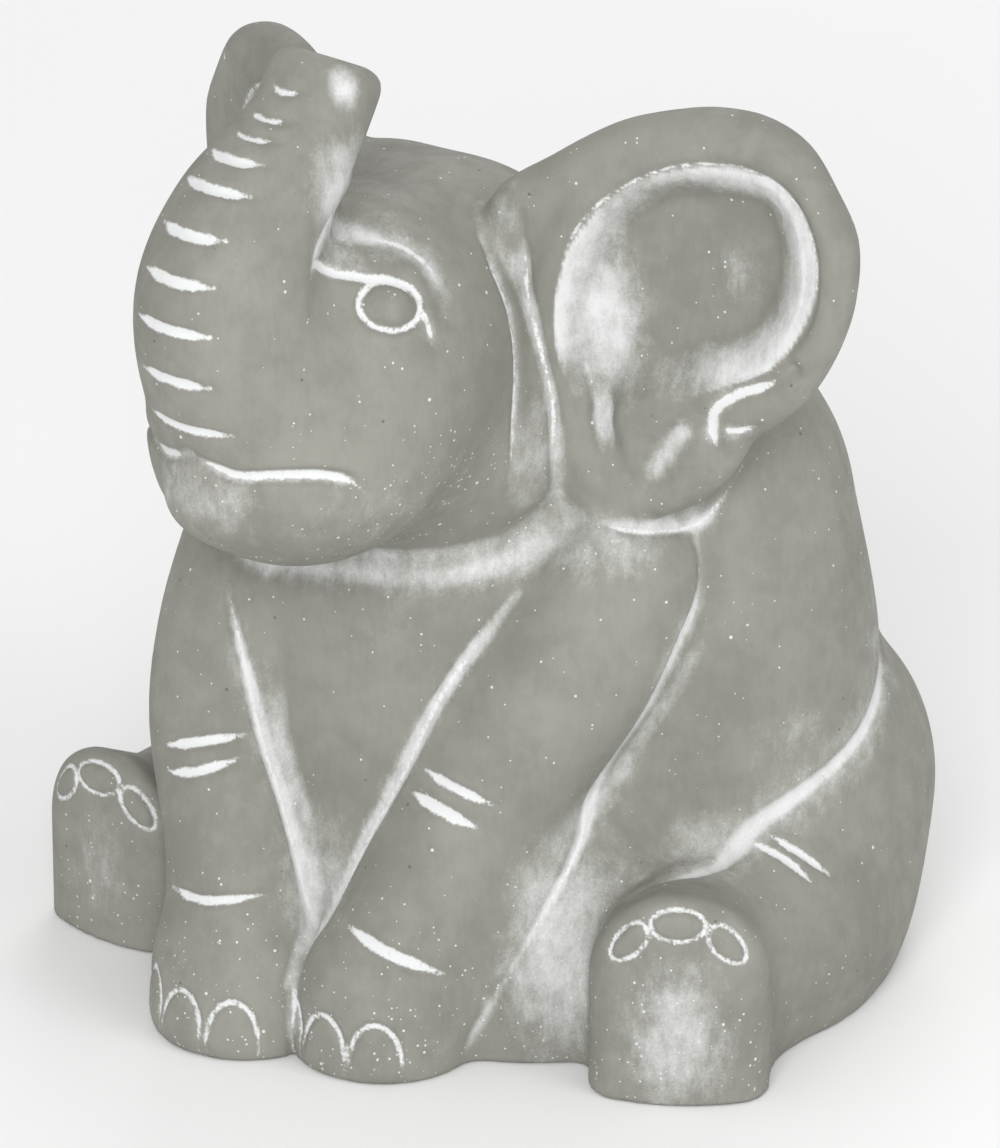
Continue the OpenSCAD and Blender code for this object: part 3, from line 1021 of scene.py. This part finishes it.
@functools.lru_cache(maxsize=None)
def clay_body_group():
    """Fired clay: mottled tone, brushed grain, pinholes darkened with painted shade, and a height for the
    bump.
    """
    group, given, made = new_group(
        "fired clay",
        [("Place", "Vector", None), ("Clay", "Color", CLAY), ("Dark clay", "Color", DARK_CLAY),
         ("Mottling", "Float", 1.0)],
        [("Color", "Color"), ("Height", "Float"), ("Roughness", "Float")],
    )
    where = taken(given, "Place")
    broad = noise(where, 0.045, 3.0)
    middle = noise(where, 0.22, 4.0, 0.6)
    brushed = noise(where, 1.1, 3.0, 0.6, squash=(1.0, 1.0, 0.22))
    grain = noise(where, 2.6, 2.0, 0.6)
    tone = broad * 0.55 + middle * 0.3 + brushed * 0.15
    shade = tone.ranged(0.36, 0.64).math("MULTIPLY", taken(given, "Mottling"), clamp=True)
    color = mixed(shade, taken(given, "Clay"), taken(given, "Dark clay"))
    away, chance, _ = cells(where, 0.33)
    pit = away.ranged(0.05, 0.13, 1.0, 0.0) * chance.math("GREATER_THAN", 0.93)
    # The pits are darkened with painted shade, as well as dipped by the bump
    feed(made.inputs["Color"], mixed(pit * 0.6, color, PINHOLE_SHADE))
    feed(made.inputs["Height"], middle * 0.35 + grain * 0.10 + brushed * 0.16 - pit * 0.25)
    feed(made.inputs["Roughness"], middle.ranged(0.3, 0.7, 0.62, 0.78))
    return group


@functools.lru_cache(maxsize=None)
def whitewash_group():
    """Whitewash: brushed strokes, rubbed hollows and spatter, as one cover from 0 to 1."""
    group, given, made = new_group(
        "rubbed whitewash",
        [("Place", "Vector", None), ("Line", "Float", Block.FAR), ("Wash", "Float", 0.0),
         ("Speck", "Float", 0.0), ("Amount", "Float", 1.0)],
        [("Cover", "Float"), ("Height", "Float")],
    )
    where = taken(given, "Place")
    wobble = noise(where, 0.55, 3.0, 0.6)
    ragged = noise(where, 2.2, 2.0, 0.7)
    hairs = noise(where, 1.6, 3.0, 0.65, squash=(1.0, 1.0, 0.18))
    streak = noise(where, 0.5, 4.0, 0.7, squash=(1.0, 0.7, 0.45))
    cloud = noise(where, 0.13, 3.0, 0.6)
    # Strokes of a loaded brush: a ragged edge and a few thin places
    edge = taken(given, "Line") + ((wobble - 0.5) * 0.8 + (ragged - 0.5) * 0.5)
    thin = (hairs + wobble * 0.4).ranged(0.42, 0.62, 0.8, 1.0)
    stroke = edge.ranged(-0.28, 0.22, 1.0, 0.0) * thin
    # Wash rubbed off again, left in the hollows and in fine streaks
    broken = (streak - 0.5) * 1.15 + (cloud - 0.5) * 0.9 + (ragged - 0.5) * 0.6
    # The Wash input also brings a painted highlight on the tip of the trunk
    wash = taken(given, "Wash")
    held = wash * taken(given, "Amount") + broken * 0.55
    rubbed = held.ranged(0.2, 1.05, 0.0, 0.92) * wash.ranged(0.02, 0.3)
    # Spatter, in two sizes
    often = taken(given, "Speck") * 1.2
    drops = []
    for per_mm, size in ((0.5, 0.16), (1.0, 0.22)):
        away, chance, spread = cells(where, per_mm)
        inside = away.math("LESS_THAN", spread.math("POWER", 2.0) * size)
        drops.append(inside * often.math("GREATER_THAN", chance))
    drop = drops[0].math("MAXIMUM", drops[1])
    cover = stroke.math("MAXIMUM", rubbed).math("MAXIMUM", drop * 0.85, clamp=True)
    feed(made.inputs["Cover"], cover)
    feed(made.inputs["Height"], stroke * 0.6 + drop * 0.5)
    return group


def new_material(name):
    """A material, its shader, and the places on the piece in metres."""
    material = bpy.data.materials.new(name)
    material.use_nodes = True
    tree = material.node_tree
    where = taken(node(tree, "ShaderNodeTexCoord"), "Object")
    return material, tree.nodes["Principled BSDF"], where


@functools.lru_cache(maxsize=None)
def clay_material(bare=False):
    """Whitewashed clay; the bare sort, for the floor plate, has no strokes on it."""
    finish = bpy.context.scene.money_box_finish
    material, shader, where = new_material("bare clay" if bare else "whitewashed clay")
    body = node(where.tree, "ShaderNodeGroup", node_tree=clay_body_group())
    wash = node(where.tree, "ShaderNodeGroup", node_tree=whitewash_group())
    feed(body.inputs["Place"], where)
    feed(body.inputs["Clay"], (*finish.clay_color, 1))
    feed(body.inputs["Dark clay"], (*finish.dark_clay_color, 1))
    feed(wash.inputs["Place"], where)
    feed(wash.inputs["Amount"], finish.wash_amount)
    if bare:
        feed(wash.inputs["Speck"], 0.1)
        feed(wash.inputs["Wash"], 0.12)
    else:
        for key in ("line", "wash", "speck"):
            value = node(where.tree, "ShaderNodeAttribute", attribute_name=key)
            feed(wash.inputs[key.capitalize()], taken(value, "Fac"))
    cover = taken(wash, "Cover")
    feed(shader.inputs["Base Color"], mixed(cover, taken(body, "Color"), (*finish.wash_color, 1)))
    feed(shader.inputs["Roughness"], taken(body, "Roughness") + cover.ranged(0.0, 1.0, 0.0, 0.16))
    feed(shader.inputs["Specular IOR Level"], 0.35)
    bumped(shader, taken(body, "Height") + taken(wash, "Height") * 0.35, 0.5, 0.35)
    return material


@functools.lru_cache(maxsize=None)
def rubber_material():
    """Moulded rubber, satin, with a dusty bloom and a fine texture."""
    material, shader, where = new_material("stopper rubber")
    bloom = noise(where, 0.12, 4.0, 0.6).ranged(0.4, 0.7)
    feed(shader.inputs["Base Color"], mixed(bloom, RUBBER, BLOOMED_RUBBER))
    feed(shader.inputs["Roughness"], bloom.ranged(0, 1, 0.42, 0.62))
    bumped(shader, noise(where, 3.5, 2.0), 0.4, 0.1)
    return material


# ---- Settings

class MoneyBoxFinish(bpy.types.PropertyGroup):
    """Colours of the clay and of the whitewash rubbed over it"""

    clay_color: bpy.props.FloatVectorProperty(
        name="Clay", description="Colour of the fired clay", subtype="COLOR", size=3,
        min=0, max=1, default=CLAY[:3])
    dark_clay_color: bpy.props.FloatVectorProperty(
        name="Dark clay", description="Colour of the darker clouds in the clay", subtype="COLOR",
        size=3, min=0, max=1, default=DARK_CLAY[:3])
    wash_color: bpy.props.FloatVectorProperty(
        name="Whitewash", description="Colour of the dried whitewash", subtype="COLOR", size=3,
        min=0, max=1, default=(0.72, 0.73, 0.73))
    wash_amount: bpy.props.FloatProperty(
        name="Whitewash left", description="How much whitewash is left after rubbing it off",
        subtype="FACTOR", min=0, max=1.5, default=1.0)


class MoneyBoxStopper(bpy.types.PropertyGroup):
    """Sizes of the stopper's moulded details"""

    web_count: bpy.props.IntProperty(
        name="Webs", description="Number of moulded webs inside the plug", min=4, max=16, default=10)
    web_length: bpy.props.FloatProperty(
        name="Web length", description="Length of each web towards the middle", subtype="DISTANCE",
        unit="LENGTH", min=0.001, max=0.006, default=0.0032)
    web_width: bpy.props.FloatProperty(
        name="Web width", description="Thickness of each web", subtype="DISTANCE", unit="LENGTH",
        min=0.0005, max=0.003, default=0.0012)


class MoneyBoxStage(bpy.types.PropertyGroup):
    """Camera and lights"""

    turn: bpy.props.FloatProperty(
        name="Camera turn", description="How far the camera stands towards the elephant's left",
        subtype="ANGLE", unit="ROTATION", default=math.radians(28))
    lift: bpy.props.FloatProperty(
        name="Camera lift", description="How steeply the camera looks down", subtype="ANGLE",
        unit="ROTATION", default=math.radians(24.5))
    distance: bpy.props.FloatProperty(
        name="Camera distance", description="From the camera to the middle of the view",
        subtype="DISTANCE", unit="LENGTH", default=1.4)
    lens: bpy.props.FloatProperty(
        name="Lens", description="Focal length in millimetres", default=267.8)
    key: bpy.props.FloatProperty(
        name="Main light", description="Power of the main light in watts", default=10.4)
    sky: bpy.props.FloatProperty(
        name="Surrounding light", description="Strength of the even light all round", default=0.62)


# ---- Operators

class MakeTorso(bpy.types.Operator):
    """Sculpt the hollow torso with its chest, belly and coin slot"""

    bl_idname = "moneybox.torso"
    bl_label = "Torso"

    def execute(self, context):
        finish_clay("torso_shell")
        return {"FINISHED"}


class MakeHead(bpy.types.Operator):
    """Sculpt the hollow head with its eyes, brows and mouth"""

    bl_idname = "moneybox.head"
    bl_label = "Head"

    def execute(self, context):
        finish_clay("head_shell")
        return {"FINISHED"}


class MakeTrunk(bpy.types.Operator):
    """Sculpt the raised trunk with its ten rings"""

    bl_idname = "moneybox.trunk"
    bl_label = "Trunk"

    def execute(self, context):
        finish_clay("trunk")
        return {"FINISHED"}


class MakeEars(bpy.types.Operator):
    """Sculpt the two dished ears"""

    bl_idname = "moneybox.ears"
    bl_label = "Ears"

    def execute(self, context):
        finish_clay("ear_left")
        finish_clay("ear_right")
        return {"FINISHED"}


class MakeForelegs(bpy.types.Operator):
    """Sculpt the forelegs with their nails"""

    bl_idname = "moneybox.forelegs"
    bl_label = "Forelegs"

    def execute(self, context):
        finish_clay("foreleg_left")
        finish_clay("foreleg_right")
        return {"FINISHED"}


class MakeHindLegs(bpy.types.Operator):
    """Sculpt the haunches and the hind feet with their soles"""

    bl_idname = "moneybox.hind_legs"
    bl_label = "Hind legs"

    def execute(self, context):
        finish_clay("hind_leg_left")
        finish_clay("hind_leg_right")
        return {"FINISHED"}


class MakeTail(bpy.types.Operator):
    """Sculpt the tail that lies against the rump"""

    bl_idname = "moneybox.tail"
    bl_label = "Tail"

    def execute(self, context):
        finish_clay("tail")
        return {"FINISHED"}


class MakeFloorPlate(bpy.types.Operator):
    """Give the floor plate with the stopper hole its bare clay finish"""

    bl_idname = "moneybox.floor_plate"
    bl_label = "Floor plate"

    def execute(self, context):
        plate = bpy.data.objects["base_floor"]
        for slot in plate.material_slots:
            slot.material = clay_material(bare=True)
        return {"FINISHED"}


def web_tree(material):
    """Geometry Nodes: moulded webs that stand in a ring round the stopper's axis."""
    tree = bpy.data.node_groups.new("stopper webs", "GeometryNodeTree")
    sockets = {}
    tree.interface.new_socket("Geometry", in_out="INPUT", socket_type="NodeSocketGeometry")
    for label, kind, default in (("Count", "Int", 10), ("Radius", "Float", 0.013), ("Length", "Float", 0.003),
                                 ("Width", "Float", 0.001), ("Height", "Float", 0.008)):
        socket = tree.interface.new_socket(label, in_out="INPUT", socket_type="NodeSocket" + kind)
        socket.default_value = default
        sockets[label] = socket.identifier
    tree.interface.new_socket("Geometry", in_out="OUTPUT", socket_type="NodeSocketGeometry")
    given, made = tree.nodes.new("NodeGroupInput"), tree.nodes.new("NodeGroupOutput")
    count = taken(given, "Count")
    ring = node(tree, "GeometryNodeMeshCircle")
    feed(ring.inputs["Vertices"], count)
    feed(ring.inputs["Radius"], taken(given, "Radius"))
    size = node(tree, "ShaderNodeCombineXYZ")
    for axis, label in (("X", "Length"), ("Y", "Width"), ("Z", "Height")):
        feed(size.inputs[axis], taken(given, label))
    web = node(tree, "GeometryNodeMeshCube")
    feed(web.inputs["Size"], taken(size, "Vector"))
    index = taken(node(tree, "GeometryNodeInputIndex"), "Index")
    angle = node(tree, "ShaderNodeCombineXYZ")
    feed(angle.inputs["Z"], (index * (2 * math.pi)).math("DIVIDE", count))
    place = node(tree, "GeometryNodeInstanceOnPoints")
    feed(place.inputs["Points"], taken(ring, "Mesh"))
    feed(place.inputs["Instance"], taken(web, "Mesh"))
    feed(place.inputs["Rotation"], taken(angle, "Vector"))
    real = node(tree, "GeometryNodeRealizeInstances")
    feed(real.inputs["Geometry"], taken(place, "Instances"))
    coat = node(tree, "GeometryNodeSetMaterial")
    feed(coat.inputs["Material"], material)
    feed(coat.inputs["Geometry"], taken(real, "Geometry"))
    feed(made.inputs["Geometry"], taken(coat, "Geometry"))
    return tree, sockets


class MakeStopper(bpy.types.Operator):
    """Mould the rubber stopper: flange, ribbed hollow plug, finger bar and webs"""

    bl_idname = "moneybox.stopper"
    bl_label = "Stopper"

    def execute(self, context):
        settings = context.scene.money_box_stopper
        material = rubber_material()
        low, high = (np.array(c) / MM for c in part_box("stopper"))
        middle = (low + high) / 2
        tall = high[2] - low[2]
        flange_r, flange_t, plug_r = (high[0] - low[0]) / 2, FLANGE_THICKNESS, PLUG_RADIUS
        inner_r, floor_t, groove = HOLLOW_RADIUS, PLUG_END, PLUG_GROOVE
        profile = [(flange_r - 0.6, 0), (flange_r - 0.1, 0.35), (flange_r, 0.9), (flange_r - 0.1, 1.7),
                   (flange_r - 0.7, flange_t), (plug_r + 0.2, flange_t), (plug_r - groove, flange_t + 0.4),
                   (plug_r - groove, flange_t + 1.4)]
        for rib in range(3):
            z = flange_t + 2.0 + 3.0 * rib
            profile += [(plug_r - 0.1, z), (plug_r, z + 0.5), (plug_r - 0.1, z + 1.0),
                        (plug_r - groove, z + 1.5), (plug_r - groove, z + 2.4)]
        roof = tall - floor_t
        profile += [(plug_r - 0.5, tall - 1.4), (plug_r - 1.0, tall - 0.5), (plug_r - 2.2, tall),
                    (0.001, tall), (0.001, roof), (inner_r - 1.4, roof), (inner_r - 0.4, roof - 0.6),
                    (inner_r, roof - 2), (inner_r + 0.1, 0.6), (inner_r + 0.6, 0)]
        body = turned("stopper_finish", profile)
        bm = bmesh.new()
        bm.from_mesh(body)
        bar = bmesh.ops.create_cube(bm, size=1.0)["verts"]
        for v in bar:
            v.co = (v.co.x * 2 * (inner_r + 0.4) * MM, v.co.y * BAR_WIDTH * MM,
                    ((v.co.z + 0.5) * (roof + 0.4 - BAR_RISE) + BAR_RISE) * MM)
        edges = [e for e in bm.edges if all(v in bar for v in e.verts)]
        bmesh.ops.bevel(bm, geom=edges, offset=1.2 * MM, segments=4, affect="EDGES", profile=0.5)
        bm.to_mesh(body)
        bm.free()
        body.transform(mathutils.Matrix.Translation(
            (middle[0] * MM, middle[1] * MM, low[2] * MM)))
        body.materials.append(material)

        holder = link_piece(bpy.data.meshes.new("webs_start"))
        tree, sockets = web_tree(material)
        modifier = holder.modifiers.new("webs", "NODES")
        modifier.node_group = tree
        web_tall = (roof - 1.0) * MM
        modifier[sockets["Count"]] = settings.web_count
        modifier[sockets["Length"]] = settings.web_length
        modifier[sockets["Width"]] = settings.web_width
        modifier[sockets["Radius"]] = (inner_r + 0.3) * MM - settings.web_length / 2
        modifier[sockets["Height"]] = web_tall
        graph = context.evaluated_depsgraph_get()
        webs = bpy.data.meshes.new_from_object(holder.evaluated_get(graph))
        bpy.data.objects.remove(holder)
        webs.transform(mathutils.Matrix.Translation(
            (middle[0] * MM, middle[1] * MM, (low[2] + 1.4) * MM + web_tall / 2)))
        webs.name = "stopper_webs"
        for mesh, replaced in ((body, True), (webs, False)):
            piece = link_piece(mesh)
            if replaced:
                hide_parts("stopper")
            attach(piece, STOPPER_BODY)
        return {"FINISHED"}


class SetStage(bpy.types.Operator):
    """Set the camera, the pale floor and the soft studio lights"""

    bl_idname = "moneybox.stage"
    bl_label = "Stage"

    def execute(self, context):
        scene, settings = context.scene, context.scene.money_box_stage
        turn, lift = settings.turn, settings.lift
        back = np.array([math.sin(turn) * math.cos(lift), -math.cos(turn) * math.cos(lift),
                         math.sin(lift)])
        view = bpy.data.cameras.new("view")
        view.lens = settings.lens
        view.clip_end = 20
        camera = bpy.data.objects.new("view", view)
        camera.location = np.array(VIEW_MIDDLE) * MM + back * settings.distance
        camera.rotation_euler = (math.pi / 2 - lift, 0, turn)
        scene.collection.objects.link(camera)
        scene.camera = camera
        scene.view_settings.view_transform = "Standard"

        mesh = bpy.data.meshes.new("studio_floor")
        mesh.from_pydata([(x * FLOOR_HALF_SIDE, y * FLOOR_HALF_SIDE, -FLOOR_DROP * MM)
                          for x, y in ((-1, -1), (1, -1), (1, 1), (-1, 1))], [], [(0, 1, 2, 3)])
        floor = link_piece(mesh)
        pale, shader, where = new_material("pale paper")
        feed(shader.inputs["Base Color"], (0.9, 0.9, 0.9, 1))
        feed(shader.inputs["Roughness"], 0.9)
        # Clear from underneath, so that the sole and the stopper can be seen
        under = taken(node(where.tree, "ShaderNodeNewGeometry"), "Backfacing")
        feed(shader.inputs["Alpha"], (under * -1.0) + 1.0)
        mesh.materials.append(pale)

        world = bpy.data.worlds.new("soft studio")
        scene.world = world
        world.use_nodes = True
        sky = world.node_tree.nodes["Background"]
        feed(sky.inputs["Color"], (1, 1, 1, 1))
        feed(sky.inputs["Strength"], settings.sky)
        for name, power, size, place in LIGHTS:
            lamp = bpy.data.lights.new(name, "AREA")
            lamp.energy = power * settings.key
            lamp.size = size
            stand = bpy.data.objects.new(name, lamp)
            stand.location = place
            aim = mathutils.Vector(LAMP_AIM) - stand.location
            stand.rotation_euler = aim.to_track_quat("-Z", "Y").to_euler()
            scene.collection.objects.link(stand)
        return {"FINISHED"}


class MoneyBoxPanel(bpy.types.Panel):
    """Sidebar panel that lists the pieces in the order they are made"""

    bl_idname = "VIEW3D_PT_money_box"
    bl_label = "Clay elephant money box"
    bl_space_type = "VIEW_3D"
    bl_region_type = "UI"
    bl_category = "Money Box"

    def draw(self, context):
        scene = context.scene
        for settings in (scene.money_box_finish, scene.money_box_stopper, scene.money_box_stage):
            box = self.layout.box()
            for key in settings.__annotations__:
                box.prop(settings, key)
        for step in STEPS:
            self.layout.operator(step.bl_idname)


SETTINGS = (
    ("money_box_finish", MoneyBoxFinish),
    ("money_box_stopper", MoneyBoxStopper),
    ("money_box_stage", MoneyBoxStage),
)
STEPS = (SetStage, MakeTorso, MakeHead, MakeTrunk, MakeEars, MakeForelegs, MakeHindLegs, MakeTail,
         MakeFloorPlate, MakeStopper)
CLASSES = tuple(kind for _, kind in SETTINGS) + STEPS + (MoneyBoxPanel,)


def register():
    for kind in CLASSES:
        bpy.utils.register_class(kind)
    for key, kind in SETTINGS:
        setattr(bpy.types.Scene, key, bpy.props.PointerProperty(type=kind))


def unregister():
    for key, _ in SETTINGS:
        delattr(bpy.types.Scene, key)
    for kind in reversed(CLASSES):
        bpy.utils.unregister_class(kind)


def main():
    register()
    bpy.ops.moneybox.stage()
    bpy.ops.moneybox.torso()
    bpy.ops.moneybox.head()
    bpy.ops.moneybox.trunk()
    bpy.ops.moneybox.ears()
    bpy.ops.moneybox.forelegs()
    bpy.ops.moneybox.hind_legs()
    bpy.ops.moneybox.tail()
    bpy.ops.moneybox.floor_plate()
    bpy.ops.moneybox.stopper()


if __name__ == "__main__":
    main()
